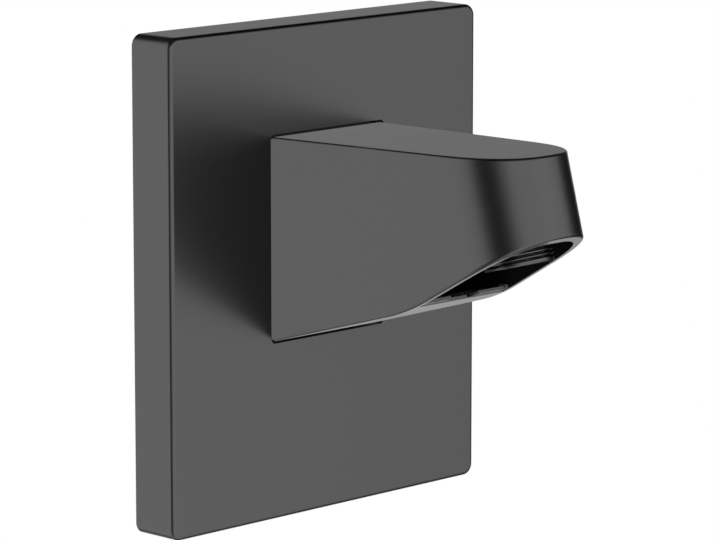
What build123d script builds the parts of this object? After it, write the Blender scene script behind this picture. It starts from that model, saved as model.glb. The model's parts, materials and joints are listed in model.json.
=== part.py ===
from build123d import *
import math
import os

# Wall-mounted shower arm with a rectangular escutcheon, in millimetres.
# X runs along the wall, Y into the wall, Z up. The origin is the middle of the escutcheon on the wall.

# Escutcheon
plate_width = 130.3
plate_height = 150.2
plate_depth = 16.2
plate_wall = 2.0
plate_corner_radius = 3.6
plate_edge_radius = 1.4
cutout_clearance = 0.8
seal_width = 4.0
seal_thickness = 2.0
gasket_width = 5.0
gasket_thickness = 1.5

# Arm, outside. Half width, top and bottom are those where it leaves the escutcheon's front.
arm_half_width = 23.4
arm_top = 42.0
arm_bottom = -20.0
side_taper = 2.8
top_rise = 0.82
underside_rise = 16.0
mouth_rise = 30.0
mouth_corner_reach = 52.4
underside_blend_radius = 68.0
nose_start = 64.0
nose_aspect = 1.101
nose_power = 2.5
nose_lean = 15.6
nose_points = 24
top_edge_radius = 0.8
bottom_edge_radius = 0.95

# Arm, inside
arm_wall = 2.5
nose_wall = 3.7
collar_step = 0.3
collar_lap = 0.5
mouth_back_reach = 55.3
mouth_lip = 0.35

# Wall bracket
bracket_width = 84.0
bracket_height = 110.0
bracket_thickness = 3.0
bracket_corner_radius = 4.0
bolt_spacing_x = 64.0
bolt_spacing_z = 90.0
bolt_hole_radius = 2.75
tab_width = 30.0
tab_thickness = 3.0
tab_reach = 9.0
grub_radius = 2.4
grub_length = 5.5
grub_clearance = 0.1
grub_socket_flats = 2.5
grub_socket_depth = 2.5
grub_sink = 0.2

# Threads and the water way
thread_radius = 10.48
thread_chamfer = 0.4
inlet_thread_length = 12.5
thread_relief = 0.3
relief_run_out = 0.5
seal_ring_width = 3.5
ring_clearance = 0.15
hex_flats = 24.0
hex_height = 4.0
spigot_radius = 7.9
spigot_length = 14.0
socket_clearance = 0.1
inlet_bore_radius = 4.6
strainer_radius = 7.0
strainer_thickness = 1.5
strainer_hole_radius = 0.9
strainer_hole_pitch = 2.35
strainer_hole_rows = 5
o_ring_radius = 0.75
o_ring_clearance = 0.03
spigot_ring_spacing = 4.5
elbow_wall = 4.0
elbow_gap = 1.5
elbow_clearance = 0.5
elbow_floor = 4.0
elbow_reach = 17.0
ear_margin = 3.0
ear_half_height = 5.0
ear_thickness = 4.0
ear_reach = 10.5
elbow_screw_inset = 7.2
elbow_screw_radius = 1.95
elbow_screw_grip = 8.0
elbow_head_radius = 3.4
elbow_head_height = 2.6
boss_margin = 3.4
boss_length = 12.0
tube_radius = 5.0
tube_bore_radius = 3.8
tube_seat_depth = 5.0
tube_seat_floor = 1.0
tube_end_gap = 0.3
tube_ring_inset = 2.5
tube_ring_radius = 0.45

# Outlet, set by the middle of the nipple's open end
nose_to_outlet = 11.27
outlet_height = 9.65
outlet_tilt = 15.0
outlet_thread_length = 9.0
outlet_bore_radius = 6.0
outlet_collar_radius = 11.6
outlet_collar_height = 3.0
outlet_spigot_radius = 7.9
outlet_spigot_length = 4.0
block_height = 13.0
block_half_width = 14.6
block_front = 18.0
block_clearance = 0.6
block_chamber_height = 10.5
block_screw_x = 10.8
block_screw_back = 11.0
block_screw_front = 13.6
block_screw_radius = 1.25
block_screw_grip = 3.5
block_head_radius = 1.8
block_head_height = 1.8
pillar_radius = 3.0
screw_clearance = 0.08
driver_slot_width = 0.8
driver_slot_depth = 0.9
limiter_thickness = 3.0
limiter_inset = 2.0
limiter_hole_radius = 1.1
limiter_hole_circle = 3.6
limiter_holes = 6

# Insert at the back of the mouth: a thin tray with two wings that reach into the mouth
insert_thickness = 0.75
insert_clearance = 0.2
insert_tongue = 7.5
insert_wing = 2.5
insert_wing_height = 0.95
insert_recess = 0.1
insert_left_wing_end = -7.0
insert_slot_left = 2.5
insert_slot_right = 4.9
insert_slot_depth = 3.5
insert_notch_width = 0.6
insert_tab_width = 1.4
insert_tab_height = 0.3

# How far a cut runs past the face that it opens
overcut = 1.0

# Places that follow from the sizes above
front = -plate_depth
taper = math.tan(math.radians(side_taper))
rise = math.tan(math.radians(top_rise))
underside = math.tan(math.radians(underside_rise))
mouth = math.tan(math.radians(mouth_rise))
lean = math.tan(math.radians(nose_lean))
nose_length = nose_aspect * arm_half_width
outlet_reach = nose_start + nose_length - nose_to_outlet
collar_half_width = arm_half_width - collar_step
collar_top = arm_top - collar_step
collar_bottom = arm_bottom + collar_step
arm_back = -bracket_thickness
shoulder = front + collar_lap
mouth_back = front - mouth_back_reach
far = front - nose_start - 3 * nose_length
outlet_frame = Plane(
    origin=(0, front - outlet_reach, outlet_height),
    x_dir=(1, 0, 0),
    z_dir=(0, math.sin(math.radians(outlet_tilt)), math.cos(math.radians(outlet_tilt))),
)
block_bottom = outlet_thread_length + outlet_collar_height
block_top = block_bottom + block_height
tube_height = block_bottom + block_height / 2
tube_axis = outlet_frame.offset(tube_height)
elbow_back = arm_back - hex_height - elbow_gap
elbow_middle = arm_back - hex_height - spigot_length - elbow_floor
tube_run = (elbow_middle - tube_axis.origin.Y) / math.cos(math.radians(outlet_tilt))
inlet_height = tube_axis.origin.Z - tube_run * math.sin(math.radians(outlet_tilt))
inlet_axis = Plane(origin=(0, 0, inlet_height), x_dir=(1, 0, 0), z_dir=(0, -1, 0))
tube_frame = Plane(
    origin=(0, elbow_middle, inlet_height),
    x_dir=(1, 0, 0),
    z_dir=(0, -math.cos(math.radians(outlet_tilt)), math.sin(math.radians(outlet_tilt))),
)
socket_radius = spigot_radius + socket_clearance
chamber_radius = outlet_spigot_radius + socket_clearance
block_back = chamber_radius + tube_seat_floor + tube_seat_depth
tube_socket_radius = tube_radius + socket_clearance
elbow_screw_x = arm_half_width - elbow_screw_inset
ear_half_width = elbow_screw_x + ear_margin
boss_inner_x = elbow_screw_x - boss_margin
elbow_radius = socket_radius + elbow_wall


def slab(x0, x1, y0, y1, z0, z1):
    """A box between two corners."""
    return Pos((x0 + x1) / 2, (y0 + y1) / 2, (z0 + z1) / 2) * Box(x1 - x0, y1 - y0, z1 - z0)


def rounded_slab(width, height, radius, y0, y1, middle=0.0):
    """A plate on the wall with rounded corners, from y0 to y1."""
    face = Plane(origin=(0, y1, middle), x_dir=(1, 0, 0), z_dir=(0, -1, 0)) * RectangleRounded(
        width, height, radius
    )
    return extrude(face, y1 - y0)


def rod(plane, radius, start, end):
    """A round rod along a plane's normal, between two distances from it."""
    return plane.offset(start) * Cylinder(
        radius, end - start, align=(Align.CENTER, Align.CENTER, Align.MIN)
    )


def half_width(y, inset=0.0):
    """Half the arm's width at a distance from the wall."""
    return arm_half_width - taper * (front - y) - inset


def underside_height(y):
    """Height of the arm's straight underside, behind its bend."""
    return arm_bottom + underside * (front - y)


def mouth_height(y):
    """Height of the plane of the mouth."""
    corner = front - mouth_corner_reach
    return underside_height(corner) + mouth * (corner - y)


def bend_height(y):
    """Height of the rounded bend between the straight underside and the plane of the mouth."""
    corner = front - mouth_corner_reach
    half_turn = math.radians(mouth_rise - underside_rise) / 2
    slope = math.radians(mouth_rise + underside_rise) / 2
    reach = underside_blend_radius / math.cos(half_turn)
    middle_y = corner + reach * math.sin(slope)
    middle_z = underside_height(corner) + reach * math.cos(slope)
    return middle_z - math.sqrt(underside_blend_radius**2 - (y - middle_y) ** 2)


# The lip behind the mouth: its height, and where it runs into the sloping floor
ledge = bend_height(mouth_back) + mouth_lip
floor_drop = arm_wall / math.cos(math.radians(underside_rise))
ledge_back = front - (ledge - floor_drop - arm_bottom) / underside


def plan_outline(z, inset, nose_inset):
    """The arm's plan at a height: tapering sides closed by a superellipse nose that leans forward."""
    middle = front - nose_start - lean * (arm_top - z)
    length = nose_length - nose_inset
    points = []
    for step in range(nose_points + 1):
        angle = math.pi * step / nose_points
        across = math.copysign(abs(math.cos(angle)) ** (2 / nose_power), -math.cos(angle))
        y = middle - length * math.sin(angle) ** (2 / nose_power)
        points.append((across * half_width(y, inset), y, z))
    points[0] = (-half_width(middle, inset), middle, z)
    points[-1] = (half_width(middle, inset), middle, z)
    back_left = (-half_width(shoulder, inset), shoulder, z)
    back_right = (half_width(shoulder, inset), shoulder, z)
    nose = Spline(points, tangents=[(taper, -1, 0), (taper, 1, 0)])
    return Wire(
        [Line(back_left, points[0]), nose, Line(points[-1], back_right), Line(back_right, back_left)]
    )


def arm_prism(inset, nose_inset):
    """The arm's plan carried up past its top and down past its underside."""
    low = arm_bottom - arm_half_width
    high = arm_top + arm_half_width
    outlines = [plan_outline(z, inset, nose_inset) for z in (low, high)]
    return Solid.make_loft(outlines, ruled=True)


def side_profile(inset, open_mouth):
    """The arm seen from the side, as a slab across its width.

    An open mouth has no floor, and behind it the floor levels out to a thin lip.
    """
    top_front = arm_top + rise * (front - far) - inset
    top_back = arm_top + rise * (front - shoulder) - inset
    drop = inset / math.cos(math.radians(underside_rise))
    corner_y = front - mouth_corner_reach
    if open_mouth:
        below = arm_bottom - arm_half_width
        floor = [(ledge_back, ledge), (mouth_back, ledge), (mouth_back, below), (far, below)]
    else:
        floor = [(corner_y, underside_height(corner_y)), (far, mouth_height(far))]
    outline = [(shoulder, top_back), (shoulder, underside_height(shoulder) + drop)]
    outline += floor + [(far, top_front)]
    face = make_face(Plane.YZ * Polyline(outline, close=True))
    if not open_mouth:
        bend = [v for v in face.vertices() if abs(v.Y - corner_y) < 0.01]
        face = fillet(bend, underside_blend_radius)
    return extrude(face, plate_width / 2, both=True)


def solid_arm():
    """The arm's outer form in front of its collar, with rounded edges."""
    body = (Part() + arm_prism(0.0, 0.0)) & side_profile(0.0, False)
    lower = [f for f in body.faces() if f.normal_at().Z < -0.5]
    lower_edges = [e for f in lower for e in f.edges()]
    rim = [e for e in lower_edges if lower_edges.count(e) == 1 and e.center().Y < shoulder - 0.01]
    body = fillet(rim, bottom_edge_radius)
    roof = body.faces().sort_by(Axis.Z)[-1]
    crest = [e for e in roof.edges() if e.center().Y < shoulder - 0.01]
    return fillet(crest, top_edge_radius)


def block_screw_places():
    """Where the outlet block's screws stand, across and along the block: two behind, one in front."""
    return [
        (-block_screw_x, block_screw_back),
        (block_screw_x, block_screw_back),
        (0.0, -block_screw_front),
    ]


def make_arm_shell():
    outer = solid_arm()
    collar = slab(-collar_half_width, collar_half_width, shoulder, arm_back, collar_bottom, collar_top)
    collar = fillet(collar.edges().filter_by(Axis.Y), top_edge_radius)
    hollow = (Part() + arm_prism(arm_wall, nose_wall)) & side_profile(arm_wall, True)
    hollow += slab(
        arm_wall - collar_half_width,
        collar_half_width - arm_wall,
        shoulder - collar_lap,
        arm_back,
        collar_bottom + arm_wall,
        collar_top - arm_wall,
    )
    filled = outer + collar
    shell = filled - hollow
    ear_front = arm_back - ear_reach - ear_thickness
    for side in (-1, 1):
        x0, x1 = sorted((side * boss_inner_x, side * arm_half_width))
        boss = slab(
            x0,
            x1,
            ear_front - boss_length,
            ear_front,
            inlet_height - ear_half_height,
            inlet_height + ear_half_height,
        )
        boss -= rod(inlet_axis, elbow_radius + elbow_clearance, 0, -far)
        shell += boss & filled
    for x, along in block_screw_places():
        place = outlet_frame.offset(block_top) * Pos(x, along, 0)
        pillar = place * Cylinder(
            pillar_radius, arm_half_width, align=(Align.CENTER, Align.CENTER, Align.MIN)
        )
        shell += pillar & filled
    for x, along in block_screw_places():
        place = outlet_frame * Pos(x, along, 0)
        top = block_top + block_screw_grip + screw_clearance
        shell -= place * rod(Plane.XY, block_screw_radius + screw_clearance, block_top, top)
    for side in (-1, 1):
        place = inlet_axis * Pos(side * elbow_screw_x, 0, 0)
        end = -ear_front + elbow_screw_grip + screw_clearance
        shell -= place * rod(Plane.XY, elbow_screw_radius + screw_clearance, -ear_front, end)
    grub = Plane(origin=(0, arm_back - tab_reach / 2, collar_bottom), z_dir=(0, 0, 1))
    return shell - rod(grub, grub_radius + grub_clearance, -arm_wall, 2 * arm_wall)


def arm_cutout(y0, y1):
    """The hole that the arm passes through, with its clearance."""
    radius = top_edge_radius + cutout_clearance
    height = arm_top - arm_bottom + 2 * cutout_clearance
    width = 2 * (arm_half_width + cutout_clearance)
    return rounded_slab(width, height, radius, y0, y1, (arm_top + arm_bottom) / 2)


def make_escutcheon():
    plate = rounded_slab(plate_width, plate_height, plate_corner_radius, front, 0)
    face_edges = plate.faces().sort_by(Axis.Y)[0].edges()
    plate = fillet(face_edges, plate_edge_radius)
    inside = rounded_slab(
        plate_width - 2 * plate_wall,
        plate_height - 2 * plate_wall,
        max(plate_corner_radius - plate_wall, plate_edge_radius),
        front + plate_wall,
        plate_wall,
    )
    return plate - inside - arm_cutout(front - plate_wall, front + 2 * plate_wall)


def make_escutcheon_seal():
    width = plate_width - 2 * plate_wall
    height = plate_height - 2 * plate_wall
    ring = rounded_slab(width, height, plate_corner_radius, -seal_thickness, 0)
    inner = rounded_slab(
        width - 2 * seal_width,
        height - 2 * seal_width,
        plate_corner_radius,
        -2 * seal_thickness,
        seal_thickness,
    )
    return ring - inner


def make_cutout_gasket():
    back = front + plate_wall
    width = 2 * (arm_half_width + cutout_clearance + gasket_width)
    height = arm_top - arm_bottom + 2 * (cutout_clearance + gasket_width)
    middle = (arm_top + arm_bottom) / 2
    ring = rounded_slab(width, height, gasket_width, back, back + gasket_thickness, middle)
    return ring - arm_cutout(back - plate_wall, back + 2 * gasket_thickness)


def make_wall_bracket():
    plate = rounded_slab(
        bracket_width, bracket_height, bracket_corner_radius, -bracket_thickness, 0
    )
    inner_top = collar_top - arm_wall
    inner_bottom = collar_bottom + arm_wall
    for z0, z1 in (
        (inner_top - tab_thickness, inner_top),
        (inner_bottom, inner_bottom + tab_thickness),
    ):
        plate += slab(-tab_width / 2, tab_width / 2, arm_back - tab_reach, arm_back, z0, z1)
    for x in (-bolt_spacing_x / 2, bolt_spacing_x / 2):
        for z in (-bolt_spacing_z / 2, bolt_spacing_z / 2):
            hole = Plane(origin=(x, 0, z), z_dir=(0, -1, 0))
            plate -= rod(hole, bolt_hole_radius, -bracket_thickness, 2 * bracket_thickness)
    opening = thread_radius + seal_ring_width + ring_clearance
    plate -= rod(inlet_axis, opening, -bracket_thickness, 2 * bracket_thickness)
    grub = Plane(origin=(0, arm_back - tab_reach / 2, inner_bottom), z_dir=(0, 0, 1))
    return plate - rod(grub, grub_radius + grub_clearance, -tab_thickness, 2 * tab_thickness)


def make_grub_screw():
    foot = Plane(origin=(0, arm_back - tab_reach / 2, collar_bottom + grub_sink), z_dir=(0, 0, 1))
    screw = rod(foot, grub_radius, 0, grub_length)
    socket = extrude(
        foot * RegularPolygon(grub_socket_flats / 2, 6, major_radius=False), grub_socket_depth
    )
    return screw - socket


def make_inlet_seal_ring():
    outer = rod(inlet_axis, thread_radius + seal_ring_width, 0, bracket_thickness)
    hole = rod(
        inlet_axis, thread_radius + ring_clearance, -overcut, bracket_thickness + overcut
    )
    return outer - hole


def ring_places(start, spacing):
    """Distances along the inlet to the two O-rings on the spigot."""
    return [start + spacing, start + 2 * spacing]


def o_ring_groove(plane, outer_radius, minor_radius, distance):
    """The ring-shaped cut for an O-ring, open to the outside."""
    half = minor_radius + o_ring_clearance
    depth = 2 * minor_radius + o_ring_clearance
    cut = rod(plane, outer_radius + minor_radius, distance - half, distance + half)
    return cut - rod(plane, outer_radius - depth, distance - 2 * half, distance + 2 * half)


def o_ring(plane, outer_radius, minor_radius, distance):
    """An O-ring that just fills its groove."""
    return plane.offset(distance) * Torus(outer_radius - minor_radius, minor_radius)


def make_inlet_nipple():
    hex_back = bracket_thickness
    spigot_back = hex_back + hex_height
    nipple = rod(inlet_axis, thread_radius, -inlet_thread_length, -relief_run_out)
    thread_end = nipple.edges().sort_by(Axis.Y)[-1]
    nipple = chamfer(thread_end, thread_chamfer)
    nipple += rod(inlet_axis, thread_radius - thread_relief, -relief_run_out, hex_back)
    nipple += extrude(
        inlet_axis.offset(hex_back) * RegularPolygon(hex_flats / 2, 6, major_radius=False), hex_height
    )
    nipple += rod(inlet_axis, spigot_radius, spigot_back, spigot_back + spigot_length)
    for distance in ring_places(spigot_back, spigot_ring_spacing):
        nipple -= o_ring_groove(inlet_axis, spigot_radius, o_ring_radius, distance)
    nipple -= rod(
        inlet_axis, inlet_bore_radius, -2 * inlet_thread_length, spigot_back + 2 * spigot_length
    )
    seat = strainer_thickness - inlet_thread_length
    return nipple - rod(
        inlet_axis, strainer_radius + ring_clearance, -2 * inlet_thread_length, seat
    )


def make_inlet_strainer():
    start = -inlet_thread_length
    disc = rod(inlet_axis, strainer_radius, start, start + strainer_thickness)
    holes = HexLocations(strainer_hole_pitch / 2, strainer_hole_rows, strainer_hole_rows)
    drill = Cylinder(strainer_hole_radius, 4 * strainer_thickness)
    reach = inlet_bore_radius - strainer_hole_radius
    for place in holes:
        if place.position.length < reach:
            disc -= inlet_axis.offset(start) * place * drill
    return disc


def make_inlet_o_rings():
    start = bracket_thickness + hex_height
    return Compound(
        [
            o_ring(inlet_axis, spigot_radius, o_ring_radius, distance)
            for distance in ring_places(start, spigot_ring_spacing)
        ]
    )


def make_inlet_elbow():
    socket_end = -elbow_middle
    elbow = rod(inlet_axis, elbow_radius, -elbow_back, socket_end + tube_socket_radius)
    elbow += rod(tube_frame, tube_socket_radius + elbow_wall, 0, elbow_reach)
    ear_back = arm_back - ear_reach
    elbow += slab(
        -ear_half_width,
        ear_half_width,
        ear_back - ear_thickness,
        ear_back,
        inlet_height - ear_half_height,
        inlet_height + ear_half_height,
    )
    spigot_end = bracket_thickness + hex_height + spigot_length + socket_clearance
    elbow -= rod(inlet_axis, socket_radius, -elbow_back - overcut, spigot_end)
    elbow -= rod(inlet_axis, tube_bore_radius, 0, socket_end)
    elbow -= rod(tube_frame, tube_bore_radius, 0, 2 * elbow_reach)
    elbow -= rod(tube_frame, tube_socket_radius, elbow_reach - tube_seat_depth, 2 * elbow_reach)
    for side in (-1, 1):
        place = inlet_axis * Pos(side * elbow_screw_x, 0, 0)
        elbow -= place * rod(
            Plane.XY, elbow_screw_radius + screw_clearance, 0, -ear_back + 2 * ear_thickness
        )
        elbow -= place * rod(Plane.XY, elbow_head_radius + screw_clearance, 0, -ear_back)
    return elbow


def slotted_screw(shank_radius, length, head_radius, head_height):
    """A pan-head screw standing on its head's seat, with its shank going up."""
    head = rod(Plane.XY, head_radius, -head_height, 0)
    head = fillet(head.edges().sort_by(Axis.Z)[0], head_height / 3)
    slot = slab(
        -head_radius,
        head_radius,
        -driver_slot_width / 2,
        driver_slot_width / 2,
        -2 * head_height,
        driver_slot_depth - head_height,
    )
    return head - slot + rod(Plane.XY, shank_radius, 0, length)


def make_elbow_screws():
    screw = slotted_screw(
        elbow_screw_radius, ear_thickness + elbow_screw_grip, elbow_head_radius, elbow_head_height
    )
    seat = inlet_axis.offset(-arm_back + ear_reach)
    return Compound([seat * Pos(side * elbow_screw_x, 0, 0) * screw for side in (-1, 1)])


def tube_ends():
    """Where the tube starts and ends along its axis."""
    start = elbow_reach - tube_seat_depth + tube_end_gap
    return start, tube_run - block_back + tube_seat_depth - tube_end_gap


def tube_ring_places():
    """Distances along the tube to its two O-rings."""
    start, end = tube_ends()
    return [start + tube_ring_inset, end - tube_ring_inset]


def make_water_tube():
    start, end = tube_ends()
    tube = rod(tube_frame, tube_radius, start, end)
    tube -= rod(tube_frame, tube_bore_radius, start - overcut, end + overcut)
    for distance in tube_ring_places():
        tube -= o_ring_groove(tube_frame, tube_radius, tube_ring_radius, distance)
    return tube


def make_tube_o_rings():
    return Compound(
        [
            o_ring(tube_frame, tube_radius, tube_ring_radius, distance)
            for distance in tube_ring_places()
        ]
    )


def make_outlet_block():
    length = block_back + block_front
    box = Pos(0, (block_back - block_front) / 2, block_bottom + block_height / 2) * Box(
        2 * block_half_width, length, block_height
    )
    room = arm_prism(arm_wall + block_clearance, nose_wall + block_clearance)
    fitted = (Part() + room) & (outlet_frame * box)
    fitted -= rod(
        outlet_frame, chamber_radius, block_bottom - overcut, block_bottom + block_chamber_height
    )
    back_face = tube_run - block_back
    fitted -= rod(tube_frame, tube_socket_radius, 0, back_face + tube_seat_depth)
    fitted -= rod(tube_frame, tube_bore_radius, 0, tube_run)
    for x, along in block_screw_places():
        place = outlet_frame * Pos(x, along, 0)
        fitted -= place * rod(Plane.XY, block_screw_radius + screw_clearance, 0, 2 * block_top)
    return fitted


def make_outlet_block_screws():
    screw = slotted_screw(
        block_screw_radius, block_height + block_screw_grip, block_head_radius, block_head_height
    )
    seat = outlet_frame.offset(block_bottom)
    return Compound([seat * Pos(x, along, 0) * screw for x, along in block_screw_places()])


def outlet_ring_place():
    """Distance along the outlet to the O-ring on the nipple's spigot."""
    return block_bottom + outlet_spigot_length / 2


def make_outlet_nipple():
    nipple = rod(outlet_frame, thread_radius, 0, outlet_thread_length)
    nipple = chamfer(nipple.edges().sort_by(Axis.Z)[0], thread_chamfer)
    nipple += rod(outlet_frame, outlet_collar_radius, outlet_thread_length, block_bottom)
    nipple += rod(
        outlet_frame, outlet_spigot_radius, block_bottom, block_bottom + outlet_spigot_length
    )
    nipple -= o_ring_groove(outlet_frame, outlet_spigot_radius, o_ring_radius, outlet_ring_place())
    return nipple - rod(outlet_frame, outlet_bore_radius, -overcut, 2 * block_top)


def make_outlet_o_ring():
    return o_ring(outlet_frame, outlet_spigot_radius, o_ring_radius, outlet_ring_place())


def make_flow_limiter():
    radius = outlet_bore_radius - o_ring_clearance
    disc = rod(outlet_frame, radius, limiter_inset, limiter_inset + limiter_thickness)
    for place in PolarLocations(limiter_hole_circle, limiter_holes):
        disc -= outlet_frame * place * Cylinder(limiter_hole_radius, 4 * block_bottom)
    return disc


def make_opening_insert():
    tip = mouth_back - insert_wing
    tongue_back = mouth_back + insert_tongue
    floor_back = underside_height(tongue_back) + floor_drop
    tip_low = bend_height(tip) + insert_recess
    tip_high = tip_low + insert_wing_height
    outline = [
        (mouth_back, ledge),
        (tip, tip_low),
        (tip, tip_high),
        (mouth_back, ledge + insert_thickness),
        (ledge_back, ledge + insert_thickness),
        (tongue_back, floor_back + insert_thickness),
        (tongue_back, floor_back),
        (ledge_back, ledge),
    ]
    half = half_width(tip, arm_wall + insert_clearance)
    insert = extrude(make_face(Plane.YZ * Polyline(outline, close=True)), half, both=True)
    notch_right = half - insert_tab_width
    low = ledge - arm_wall
    high = tip_high + arm_wall
    for left, right, depth in (
        (insert_left_wing_end, insert_slot_right, 0.0),
        (insert_slot_left, insert_slot_right, insert_slot_depth),
        (notch_right - insert_notch_width, notch_right, 0.0),
    ):
        insert -= slab(left, right, tip - overcut, mouth_back + depth, low, high)
    return insert + slab(notch_right, half, tip, mouth_back, tip_low, tip_high + insert_tab_height)


MAKERS = {
    "escutcheon": make_escutcheon,
    "escutcheon_seal": make_escutcheon_seal,
    "cutout_gasket": make_cutout_gasket,
    "arm_shell": make_arm_shell,
    "wall_bracket": make_wall_bracket,
    "grub_screw": make_grub_screw,
    "inlet_nipple": make_inlet_nipple,
    "inlet_seal_ring": make_inlet_seal_ring,
    "inlet_strainer": make_inlet_strainer,
    "inlet_o_rings": make_inlet_o_rings,
    "inlet_elbow": make_inlet_elbow,
    "elbow_screws": make_elbow_screws,
    "water_tube": make_water_tube,
    "tube_o_rings": make_tube_o_rings,
    "outlet_block": make_outlet_block,
    "outlet_block_screws": make_outlet_block_screws,
    "outlet_nipple": make_outlet_nipple,
    "outlet_o_ring": make_outlet_o_ring,
    "flow_limiter": make_flow_limiter,
    "opening_insert": make_opening_insert,
}

os.makedirs("parts", exist_ok=True)
for node, make in MAKERS.items():
    export_step(make(), f"parts/{node}.step")
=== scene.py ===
"""Looks of a wall-mounted shower arm on a rectangular escutcheon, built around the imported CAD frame.

Places are in metres in the CAD frame, and the nipples' own sizes in millimetres. X runs along the wall,
Y into the wall and Z up, with the wall at Y = 0.
"""
import json
import math

import bpy
import numpy as np
from mathutils import Matrix


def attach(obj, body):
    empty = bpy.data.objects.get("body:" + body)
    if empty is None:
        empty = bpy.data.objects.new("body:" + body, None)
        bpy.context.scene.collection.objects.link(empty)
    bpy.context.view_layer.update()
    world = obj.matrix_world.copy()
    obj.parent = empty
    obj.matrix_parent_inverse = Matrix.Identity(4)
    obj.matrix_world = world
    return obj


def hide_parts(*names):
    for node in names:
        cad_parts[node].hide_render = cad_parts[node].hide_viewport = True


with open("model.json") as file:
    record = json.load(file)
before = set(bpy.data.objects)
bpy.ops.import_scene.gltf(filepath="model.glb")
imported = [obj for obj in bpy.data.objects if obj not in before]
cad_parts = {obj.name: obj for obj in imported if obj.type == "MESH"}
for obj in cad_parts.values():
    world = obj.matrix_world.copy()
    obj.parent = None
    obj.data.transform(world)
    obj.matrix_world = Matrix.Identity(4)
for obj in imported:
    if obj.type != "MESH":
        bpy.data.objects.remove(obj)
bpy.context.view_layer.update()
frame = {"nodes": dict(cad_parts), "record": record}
nodes = frame["nodes"]

MM = 0.001
WHITE = (1.0, 1.0, 1.0)

# Camera, fitted to the photograph's outline of the escutcheon and the arm
CAMERA_EYE = np.array([-0.87883, -0.89270, 0.21765])
CAMERA_TARGET = np.array([0.01406, -0.01506, -0.00302])
CAMERA_LENS_MM = 208.33
CAMERA_SENSOR_MM = 36.0
CAMERA_REACH = 100.0

# Nipples, in millimetres. The outlet's axis starts at its open end and rises into the arm, and the inlet's
# starts at the wall and comes out of it. A thread or hexagon holds its two ends along the axis, any other
# step its radius and its far end, and grooves their middles.
OUTLET_END = np.array([0.0, -94.6934, 9.65])
OUTLET_LEAN = math.radians(15.0)
OUTLET_AXIS = np.array([0.0, math.sin(OUTLET_LEAN), math.cos(OUTLET_LEAN)])
OUTLET_BORE = 6.0
OUTLET_THREAD = (0.0, 9.0)
OUTLET_COLLAR = (11.6, 12.0)
OUTLET_SPIGOT = (7.9, 16.0)
OUTLET_GROOVES = (14.0,)
INLET_AT_WALL = np.array([0.0, 0.0, 10.1283])
INLET_AXIS = np.array([0.0, -1.0, 0.0])
INLET_BORE = 4.6
INLET_THREAD = (-12.5, -0.5)
INLET_NECK = (10.18, 3.0)
INLET_HEX = (3.0, 7.0)
INLET_HEX_FLATS = 24.0
INLET_SPIGOT = (7.9, 21.0)
INLET_GROOVES = (16.0, 11.5)
STRAINER_SEAT = (7.15, -11.0)
THREAD_RADIUS = 10.48
THREAD_CHAMFER = 0.3
THREAD_LAND = 0.9
THREAD_PITCH = 1.3
THREAD_DEPTH = 0.62
THREAD_TURN = 0.02
THREAD_POWER = 1.5
GROOVE_DEPTH = 1.53
GROOVE_HALF_WIDTH = 0.78
COLLAR_CHAMFER = 0.3
ROUND_STEPS = 192
PITCH_STEPS = 16
SHARP_ANGLE = math.radians(40.0)

# Finishes: grain in waves a metre, and the depth that full bump stands for
BROAD_GRAIN = 22.0
FINE_GRAIN = 900.0
BUMP_DISTANCE = 0.0002
COAT_COLOUR = (0.1165, 0.116, 0.116)
COAT_TINT = (0.85, 0.85, 0.85)
PLATING_COLOUR = (0.13, 0.13, 0.13)
PLATING_TINT = (0.25, 0.25, 0.25)
RUBBER_COLOUR = (0.018, 0.018, 0.018)
BRASS_COLOUR = (0.62, 0.45, 0.20)
STEEL_COLOUR = (0.50, 0.50, 0.50)
PLASTIC_COLOUR = (0.11, 0.11, 0.11)

# Painted shade, dark and matt, where shade falls in recesses and gaps: on the surfaces that face Middle,
# and on the level ones beyond Collar along Y. It darkens the arm's inside, the band of the arm seen through
# the gap at the escutcheon, the escutcheon's hollow and cut-out, and the bracket's front.
PAINTED_SHADE_DARKENING = 0.1
LEVEL_LIMIT = 0.5
ARM_PAINTED_SHADE = {
    "Middle": (0.0, -0.070, 0.020),
    "Middle Amount": 1.0,
    "Collar": -0.0161,
    "Collar Amount": 0.93,
}
COVER_PAINTED_SHADE = {"Middle": (0.0, -0.005, 0.0), "Middle Amount": 0.8}
BRACKET_PAINTED_SHADE = {"Middle": (0.0, -1.0, 0.0), "Middle Amount": 1.0}

# Studio: where the soft edges of its dark parts start and end, in degrees of azimuth and elevation
STUDIO_RADIUS = 2.6
STUDIO_COLUMNS = 240
STUDIO_ROWS = 121
LEFT_FLAG = ((-105.0, -88.5), (-74.0, -29.0))
RIGHT_FLAG = ((50.0, 66.0), (104.0, 118.0))
FLAG_DARKENING = 0.965
BACK_EDGE = (95.0, 112.0)
BACK_HEIGHT = (0.0, 8.0)
BACK_DARKENING = 0.50
CEILING_EDGE = (24.0, 36.0)
CEILING_DARKENING = 0.92
CEILING_LIFT = 8.0
CEILING_DROP = 7.0
GROUND_EDGE = (32.0, 44.0)
GROUND_DIP = (122.0, 22.0)
GROUND_DIP_DEPTH = 14.0
# Where the back half, its left side and the ground begin and are full, as parts of a unit direction
BEHIND_TURN = (0.0, 0.3)
LEFT_TURN = (-0.3, 0.1)
GROUND_FRONT = (-0.1, 0.2)
# Each glow: azimuth and its spread, elevation and its spread, height
ALL_ELEVATIONS = (0.0, 1000.0)
GLOWS = (
    ((20.0, 16.0), ALL_ELEVATIONS, 0.03),
    ((42.0, 14.0), (16.0, 8.0), 0.10),
    ((125.0, 25.0), (-36.0, 12.0), 0.27),
    ((136.0, 22.0), (-14.0, 8.0), -0.68),
)
FILL_STRENGTH = 0.7
FLOOR_HEIGHT = -3.0
FLOOR_HALF_SIDE = 12.0
FLOOR_PAINT = (0.86, 0.86, 0.86)


# Meshes

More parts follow.
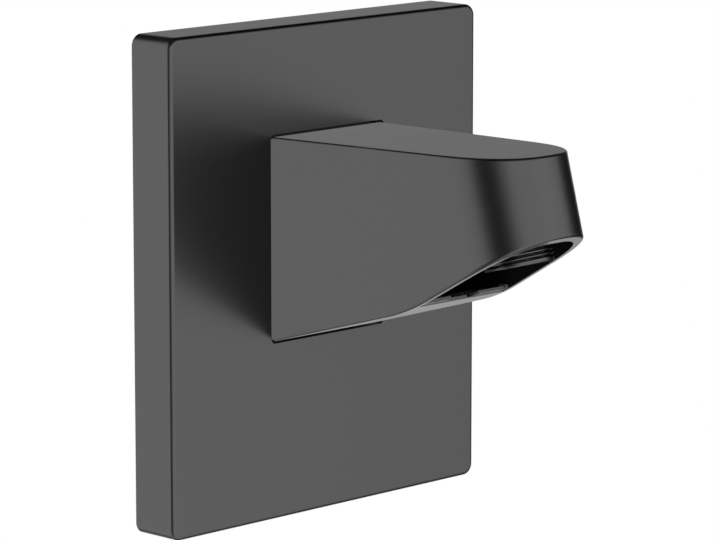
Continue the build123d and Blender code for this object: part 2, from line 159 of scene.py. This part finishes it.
def mesh_from_grid(name, points, wrap_u=False, wrap_v=False):
    """A smooth mesh whose vertex (i, j) is points[i, j], joined to its neighbours both ways by quads."""
    rows, cols = points.shape[:2]
    i = np.arange(rows if wrap_u else rows - 1)
    j = np.arange(cols if wrap_v else cols - 1)
    a, b = np.meshgrid(i, j, indexing="ij")
    a2, b2 = (a + 1) % rows, (b + 1) % cols
    corners = [a * cols + b, a2 * cols + b, a2 * cols + b2, a * cols + b2]
    quads = np.stack(corners, axis=-1).reshape(-1, 4)
    mesh = bpy.data.meshes.new(name)
    mesh.from_pydata(points.reshape(-1, 3).tolist(), [], quads.tolist())
    mesh.polygons.foreach_set("use_smooth", np.full(len(quads), True))
    mesh.update()
    piece = bpy.data.objects.new(name, mesh)
    bpy.context.scene.collection.objects.link(piece)
    return piece


# Node helpers

def feed(tree, socket, value):
    """Links a socket to another one, or sets it to a value."""
    if isinstance(value, bpy.types.NodeSocket):
        tree.links.new(value, socket)
    else:
        socket.default_value = value


def node(tree, kind, **inputs):
    """A node of a tree with its inputs fed by name."""
    made = tree.nodes.new(kind)
    for name, value in inputs.items():
        feed(tree, made.inputs[name], value)
    return made


def math_node(tree, operation, *values):
    """The result of an operation on numbers."""
    made = tree.nodes.new("ShaderNodeMath")
    made.operation = operation
    for socket, value in zip(made.inputs, values):
        feed(tree, socket, value)
    return made.outputs[0]


def vector_node(tree, operation, *values):
    """A node with an operation on vectors."""
    made = tree.nodes.new("ShaderNodeVectorMath")
    made.operation = operation
    for socket, value in zip(made.inputs, values):
        feed(tree, socket, value)
    return made


def scaled(tree, vector, factor):
    """A vector or colour times a number."""
    made = vector_node(tree, "SCALE", vector)
    feed(tree, made.inputs["Scale"], factor)
    return made.outputs[0]


def mixed_shader(tree, factor, low, high):
    """The low shader at a factor of 0 and the high one at 1."""
    made = tree.nodes.new("ShaderNodeMixShader")
    for socket, value in zip(made.inputs, (factor, low, high)):
        feed(tree, socket, value)
    return made.outputs[0]


def new_group(name, inputs, outputs):
    """A shader node group with its input and output nodes; inputs are (name, kind, default)."""
    group = bpy.data.node_groups.new(name, "ShaderNodeTree")
    for title, kind, default in inputs:
        group.interface.new_socket(title, in_out="INPUT", socket_type=kind).default_value = default
    for title in outputs:
        group.interface.new_socket(title, in_out="OUTPUT", socket_type="NodeSocketFloat")
    return group, group.nodes.new("NodeGroupInput").outputs, group.nodes.new("NodeGroupOutput").inputs


# Shared effects

def satin_grain_group():
    """Fine uneven coat: output Tone varies about 1, Sheen about 0, Height about 0.5.

    Sheen follows broad soft noise, Height noise at the size of the coat's grain, and Tone both.
    """
    group, source, sink = new_group(
        "satin_grain",
        [("Tone Amount", "NodeSocketFloat", 0.03), ("Sheen Amount", "NodeSocketFloat", 0.02)],
        ["Tone", "Sheen", "Height"],
    )
    place = group.nodes.new("ShaderNodeTexCoord").outputs["Object"]
    broad = node(group, "ShaderNodeTexNoise", Vector=place, Scale=BROAD_GRAIN, Detail=3.0).outputs["Fac"]
    fine = node(group, "ShaderNodeTexNoise", Vector=place, Scale=FINE_GRAIN, Detail=2.0).outputs["Fac"]
    broad_signed = math_node(group, "SUBTRACT", broad, 0.5)
    fine_signed = math_node(group, "SUBTRACT", fine, 0.5)
    both = math_node(group, "ADD", broad_signed, fine_signed)
    feed(group, sink["Tone"], math_node(group, "MULTIPLY_ADD", both, source["Tone Amount"], 1.0))
    feed(group, sink["Sheen"], math_node(group, "MULTIPLY", broad_signed, source["Sheen Amount"]))
    feed(group, sink["Height"], fine)
    return group


def painted_shade_group():
    """Mask of painted shade in recesses and gaps: where surfaces face Middle, or are level and lie beyond
    Collar along Y.
    """
    group, source, sink = new_group(
        "painted_shade",
        [
            ("Middle", "NodeSocketVector", (0.0, 0.0, 0.0)),
            ("Middle Amount", "NodeSocketFloat", 0.0),
            ("Collar", "NodeSocketFloat", 0.0),
            ("Collar Amount", "NodeSocketFloat", 0.0),
        ],
        ["Mask"],
    )
    coordinates = group.nodes.new("ShaderNodeTexCoord").outputs
    place, normal = coordinates["Object"], coordinates["Normal"]
    away = vector_node(group, "SUBTRACT", place, source["Middle"]).outputs["Vector"]
    facing = vector_node(group, "DOT_PRODUCT", away, normal).outputs["Value"]
    inside = math_node(group, "LESS_THAN", facing, 0.0)
    inside = math_node(group, "MULTIPLY", inside, source["Middle Amount"])
    along = node(group, "ShaderNodeSeparateXYZ", Vector=place).outputs["Y"]
    behind = math_node(group, "GREATER_THAN", along, source["Collar"])
    upright = math_node(group, "ABSOLUTE", node(group, "ShaderNodeSeparateXYZ", Vector=normal).outputs["Z"])
    level = math_node(group, "GREATER_THAN", upright, LEVEL_LIMIT)
    band = math_node(group, "MULTIPLY", behind, level)
    band = math_node(group, "MULTIPLY", band, source["Collar Amount"])
    feed(group, sink["Mask"], math_node(group, "MAXIMUM", inside, band))
    return group


GRAIN = satin_grain_group()
PAINTED_SHADE_MASK = painted_shade_group()


# Finishes

def coat_material(name, colour, roughness, metallic, tone=0.05, sheen=0.05, bump=0.02,
                  edge_tint=WHITE, specular=0.5, painted_shade_inputs=None):
    """A finish with the grain on its colour, roughness and bump.

    The last argument, where it is given, holds the inputs of the mask of painted shade: the surfaces in
    recesses and gaps that it darkens and turns from metal to matt.
    """
    material = bpy.data.materials.new(name)
    material.use_nodes = True
    tree = material.node_tree
    shader = tree.nodes["Principled BSDF"].inputs
    shader["Metallic"].default_value = metallic
    shader["Specular IOR Level"].default_value = specular
    shader["Specular Tint"].default_value = (*edge_tint, 1.0)
    grain = tree.nodes.new("ShaderNodeGroup")
    grain.node_tree = GRAIN
    grain.inputs["Tone Amount"].default_value = tone
    grain.inputs["Sheen Amount"].default_value = sheen
    final_colour = scaled(tree, colour, grain.outputs["Tone"])
    if painted_shade_inputs is not None:
        mask = tree.nodes.new("ShaderNodeGroup")
        mask.node_tree = PAINTED_SHADE_MASK
        for socket, value in painted_shade_inputs.items():
            mask.inputs[socket].default_value = value
        # Painted shade: the masked surfaces are darkened here and turned from metal to matt below
        coat = math_node(tree, "MULTIPLY_ADD", mask.outputs["Mask"], PAINTED_SHADE_DARKENING - 1, 1.0)
        final_colour = scaled(tree, final_colour, coat)
        shine = math_node(tree, "MULTIPLY_ADD", mask.outputs["Mask"], -metallic, metallic)
        feed(tree, shader["Metallic"], shine)
    feed(tree, shader["Base Color"], final_colour)
    feed(tree, shader["Roughness"], math_node(tree, "ADD", grain.outputs["Sheen"], roughness))
    if bump > 0:
        bumped = node(tree, "ShaderNodeBump", Strength=bump, Distance=BUMP_DISTANCE,
                      Height=grain.outputs["Height"])
        feed(tree, shader["Normal"], bumped.outputs["Normal"])
    return material


def satin_black(name, painted_shade_inputs):
    """The smooth satin coat of the arm and the escutcheon, with painted shade in their recesses and gaps.
    """
    return coat_material(name, COAT_COLOUR, roughness=0.30, metallic=1.0, tone=0.03, sheen=0.03, bump=0.0,
                         edge_tint=COAT_TINT, specular=0.0, painted_shade_inputs=painted_shade_inputs)


DARK_PLATING = coat_material("dark_plating", PLATING_COLOUR, roughness=0.28, metallic=1.0,
                             edge_tint=PLATING_TINT)
BRASS = coat_material("machined_brass", BRASS_COLOUR, roughness=0.32, metallic=1.0, tone=0.12)
# The bracket's front is painted dark as the shade behind the escutcheon
BRACKET_STEEL = coat_material("bracket_steel", STEEL_COLOUR, roughness=0.35, metallic=1.0, tone=0.12,
                              specular=0.0, painted_shade_inputs=BRACKET_PAINTED_SHADE)
STEEL = coat_material("brushed_steel", STEEL_COLOUR, roughness=0.35, metallic=1.0, tone=0.12)
BLACK_RUBBER = coat_material("black_rubber_seal", RUBBER_COLOUR, roughness=0.75, metallic=0.0)
GREY_PLASTIC = coat_material("moulded_grey_plastic", PLASTIC_COLOUR, roughness=0.5, metallic=0.0)
NODE_FINISH = {
    "arm_shell": satin_black("satin_black_arm", ARM_PAINTED_SHADE),
    "escutcheon": satin_black("satin_black_cover", COVER_PAINTED_SHADE),
    "wall_bracket": BRACKET_STEEL,
}
SLOT_FINISH = {
    "black_rubber": BLACK_RUBBER,
    "steel": STEEL,
    "brass": BRASS,
    "black_plating": DARK_PLATING,
    "grey_plastic": GREY_PLASTIC,
}
for subpart in frame["record"]["subparts"]:
    finish = NODE_FINISH.get(subpart["node"]) or SLOT_FINISH[subpart["material_slot"]]
    cad = nodes[subpart["node"]]
    cad.data.materials.clear()
    cad.data.materials.append(finish)

# The escutcheon and what lies behind it aren't mirrored in the arm
IN_REFLECTIONS = ("arm_shell", "opening_insert")
for name, cad in nodes.items():
    cad.visible_glossy = name in IN_REFLECTIONS


# Threaded nipples

def thread_side(start, end):
    """A thread's outline from its inner end to its open end, where it is chamfered at 45 degrees."""
    along = np.linspace(end, start, int((end - start) / THREAD_PITCH * PITCH_STEPS) + 1)
    return np.column_stack([THREAD_RADIUS - np.maximum(0, THREAD_CHAMFER - (along - start)), along])


def groove_corners(radius, middles):
    """The corners of the O-ring grooves in a spigot, from its tip down."""
    floor, half = radius - GROOVE_DEPTH, GROOVE_HALF_WIDTH
    return [
        corner
        for middle in middles
        for corner in ((radius, middle + half), (floor, middle + half),
                       (floor, middle - half), (radius, middle - half))
    ]


def turned_nipple(name, origin, axis, section, thread, hexagon=(0.0, 0.0), flats=0.0):
    """A closed outline of (radius, distance) points carried round an axis.

    Between the thread's ends the radius is cut back by a wave of the distance less the angle, one pitch
    a turn, with round crests and sharp roots, which starts past a plain land and runs out at the other end.
    Between the hexagon's ends the radius is held under half its flats over the cosine of the angle from
    the nearest flat's middle.
    """
    turn = np.linspace(0, 2 * np.pi, ROUND_STEPS, endpoint=False)
    radius, along = (np.repeat(column[:, None], ROUND_STEPS, axis=1) for column in np.array(section).T)
    wave = np.abs(2 * ((along / THREAD_PITCH - turn / (2 * np.pi) + THREAD_TURN) % 1) - 1)
    valley = (1 - wave) ** THREAD_POWER
    run_out = np.clip((along - thread[0] - THREAD_LAND) / (THREAD_PITCH / 2), 0, 1)
    run_out = run_out * np.clip((thread[1] - along) / THREAD_PITCH, 0, 1)
    on_thread = (along >= thread[0]) & (along < thread[1])
    ridged = np.minimum(radius, THREAD_RADIUS - THREAD_DEPTH * valley * run_out)
    radius = np.where(on_thread, ridged, radius)
    on_hexagon = (along >= hexagon[0]) & (along <= hexagon[1]) & (flats > 0)
    from_flat = turn % (np.pi / 3) - np.pi / 6
    radius = np.where(on_hexagon, np.minimum(radius, flats / 2 / np.cos(from_flat)), radius)
    across = np.array([1.0, 0.0, 0.0])
    outward = np.cos(turn)[:, None] * across + np.sin(turn)[:, None] * np.cross(axis, across)
    points = origin + radius[..., None] * outward + along[..., None] * axis
    nipple = mesh_from_grid(name, points * MM, wrap_u=True, wrap_v=True)
    nipple.data.set_sharp_from_angle(angle=SHARP_ANGLE)
    return nipple


def make_outlet_nipple():
    """The nipple in the arm's mouth: bore, grooved spigot, chamfered collar and thread."""
    collar, top = OUTLET_COLLAR
    spigot, tip = OUTLET_SPIGOT
    thread_top = OUTLET_THREAD[1]
    section = np.vstack([
        [(OUTLET_BORE, 0.0), (OUTLET_BORE, tip), (spigot, tip)],
        groove_corners(spigot, OUTLET_GROOVES),
        [(spigot, top), (collar - COLLAR_CHAMFER, top), (collar, top - COLLAR_CHAMFER)],
        [(collar, thread_top + COLLAR_CHAMFER), (collar - COLLAR_CHAMFER, thread_top)],
        thread_side(*OUTLET_THREAD),
    ])
    nipple = turned_nipple("outlet_nipple_thread", OUTLET_END, OUTLET_AXIS, section, OUTLET_THREAD)
    nipple.data.materials.append(DARK_PLATING)
    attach(nipple, "arm")
    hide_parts("outlet_nipple")


def make_inlet_nipple():
    """The nipple in the wall: strainer's seat, bore, grooved spigot, hexagon, neck and thread."""
    neck, hex_back = INLET_NECK
    hex_front = INLET_HEX[1]
    spigot, tip = INLET_SPIGOT
    seat, seat_floor = STRAINER_SEAT
    corner = INLET_HEX_FLATS / 2 / math.cos(math.pi / 6)
    section = np.vstack([
        [(seat, INLET_THREAD[0]), (seat, seat_floor)],
        [(INLET_BORE, seat_floor), (INLET_BORE, tip), (spigot, tip)],
        groove_corners(spigot, INLET_GROOVES),
        [(spigot, hex_front), (corner, hex_front), (corner, hex_back)],
        [(neck, hex_back), (neck, INLET_THREAD[1])],
        thread_side(*INLET_THREAD),
    ])
    nipple = turned_nipple("inlet_nipple_thread", INLET_AT_WALL, INLET_AXIS, section, INLET_THREAD,
                           INLET_HEX, INLET_HEX_FLATS)
    nipple.data.materials.append(BRASS)
    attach(nipple, "arm")
    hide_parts("inlet_nipple")


make_outlet_nipple()
make_inlet_nipple()


# Studio: a pale floor, and white surroundings with two soft dark flags, a dark ceiling and a dark ground

def white_to_eye(tree):
    """1 for camera, glossy and transmission rays, which see white, and 0 for rays that carry light."""
    rays = tree.nodes.new("ShaderNodeLightPath").outputs
    seen = math_node(tree, "MAXIMUM", rays["Is Camera Ray"], rays["Is Glossy Ray"])
    return math_node(tree, "MAXIMUM", seen, rays["Is Transmission Ray"])


def staged_material(name):
    """A material with no nodes but its output; returns it, its tree and its surface socket."""
    material = bpy.data.materials.new(name)
    material.use_nodes = True
    tree = material.node_tree
    tree.nodes.clear()
    return material, tree, tree.nodes.new("ShaderNodeOutputMaterial").inputs["Surface"]


def make_world():
    """Plain white to the eye, and a plain level of light on the object."""
    world = bpy.data.worlds.new("white_studio")
    bpy.context.scene.world = world
    world.use_nodes = True
    tree = world.node_tree
    tree.nodes.clear()
    fill = node(tree, "ShaderNodeBackground", Color=(*WHITE, 1.0), Strength=FILL_STRENGTH).outputs[0]
    white = node(tree, "ShaderNodeBackground", Color=(*WHITE, 1.0), Strength=1.0).outputs[0]
    surface = tree.nodes.new("ShaderNodeOutputWorld").inputs["Surface"]
    feed(tree, surface, mixed_shader(tree, white_to_eye(tree), fill, white))


def make_floor():
    """A flat square: x and y run over the two parameters at a constant height."""
    side = np.linspace(-FLOOR_HALF_SIDE, FLOOR_HALF_SIDE, 3)
    x, y = np.meshgrid(side, side, indexing="ij")
    floor = mesh_from_grid("floor", np.stack([x, y, np.full_like(x, FLOOR_HEIGHT)], axis=-1))
    material, tree, surface = staged_material("pale_floor")
    paint = node(tree, "ShaderNodeBsdfDiffuse", Color=(*FLOOR_PAINT, 1.0)).outputs[0]
    white = node(tree, "ShaderNodeEmission", Color=(*WHITE, 1.0), Strength=1.0).outputs[0]
    feed(tree, surface, mixed_shader(tree, white_to_eye(tree), paint, white))
    floor.data.materials.append(material)


def soft_step(value, low, high):
    """0 below low and 1 above high, with a smooth cubic between them."""
    part = np.clip((value - low) / (high - low), 0, 1)
    return part * part * (3 - 2 * part)


def bell(value, middle, spread):
    """1 at the middle, falling off evenly on both sides."""
    return np.exp(-(((value - middle) / spread) ** 2))


def studio_brightness(az, el):
    """How bright the surroundings are at an azimuth, from -Y towards +X, and an elevation, in degrees.

    They are level, with a low bump or dip at each glow. They fall off between the edges of each flag, above
    the ceiling's edge and, behind the object, below the ground's edge, which dips at one azimuth. They are
    lowered at the right of the back above the horizon. Behind, the ceiling's edge is higher on the left and
    lower on the right, and the ground fades on the left.
    """
    left, right = (
        soft_step(az, *near) * (1 - soft_step(az, *far)) for near, far in (LEFT_FLAG, RIGHT_FLAG)
    )
    flags = FLAG_DARKENING * np.maximum(left, right)
    backward = -np.cos(np.radians(az))
    behind = soft_step(backward, *BEHIND_TURN)
    on_left = behind * (1 - soft_step(np.sin(np.radians(az)), *LEFT_TURN))
    back = soft_step(np.abs(az), *BACK_EDGE) * soft_step(el, *BACK_HEIGHT)
    back = BACK_DARKENING * (1 - on_left) * back
    shift = CEILING_LIFT * on_left - CEILING_DROP * (behind - on_left)
    ceiling = CEILING_DARKENING * soft_step(el - shift, *CEILING_EDGE)
    ground = soft_step(-el - GROUND_DIP_DEPTH * bell(az, *GROUND_DIP), *GROUND_EDGE)
    ground = (1 - on_left) * ground * soft_step(backward * np.cos(np.radians(el)), *GROUND_FRONT)
    level = 1 + sum(height * bell(az, *across) * bell(el, *upward) for across, upward, height in GLOWS)
    return level * (1 - flags) * (1 - back) * (1 - ceiling) * (1 - ground)


def make_surround():
    """A sphere over azimuth and elevation that only reflections see, as bright as the studio there."""
    columns = np.linspace(-180, 180, STUDIO_COLUMNS, endpoint=False)
    rows = np.linspace(-90, 90, STUDIO_ROWS)
    az, el = np.meshgrid(columns, rows, indexing="ij")
    turn, rise = np.radians(az), np.radians(el)
    across = np.cos(rise)
    points = np.stack([np.sin(turn) * across, -np.cos(turn) * across, np.sin(rise)], axis=-1)
    surround = mesh_from_grid("surround", STUDIO_RADIUS * points, wrap_u=True)
    brightness = surround.data.attributes.new("brightness", "FLOAT", "POINT")
    brightness.data.foreach_set("value", studio_brightness(az, el).ravel())
    material, tree, surface = staged_material("graded_surround")
    shade = tree.nodes.new("ShaderNodeAttribute")
    shade.attribute_name = "brightness"
    glow = node(tree, "ShaderNodeEmission", Color=(*WHITE, 1.0), Strength=shade.outputs["Fac"])
    feed(tree, surface, glow.outputs[0])
    material.cycles.emission_sampling = "NONE"
    surround.data.materials.append(material)
    surround.visible_camera = False
    surround.visible_diffuse = False
    surround.visible_shadow = False
    surround.visible_transmission = False


make_world()
make_floor()
make_surround()


# Camera

def aim(piece, eye, target):
    """Points an object's -Z axis from eye to target, with +Y as near to up as it goes."""
    away = eye - target
    away = away / np.linalg.norm(away)
    right = np.cross((0, 0, 1), away)
    right = right / np.linalg.norm(right)
    rows = np.eye(4)
    rows[:3] = np.column_stack([right, np.cross(away, right), away, eye])
    piece.matrix_world = Matrix(rows.tolist())


def make_camera():
    """The photograph's view: its width is the sensor's width."""
    camera = bpy.data.cameras.new("camera")
    camera.lens = CAMERA_LENS_MM
    camera.sensor_width = CAMERA_SENSOR_MM
    camera.sensor_fit = "HORIZONTAL"
    camera.clip_end = CAMERA_REACH
    camera_object = bpy.data.objects.new("camera", camera)
    bpy.context.scene.collection.objects.link(camera_object)
    aim(camera_object, CAMERA_EYE, CAMERA_TARGET)
    bpy.context.scene.camera = camera_object


make_camera()
bpy.context.scene.view_settings.view_transform = "Standard"
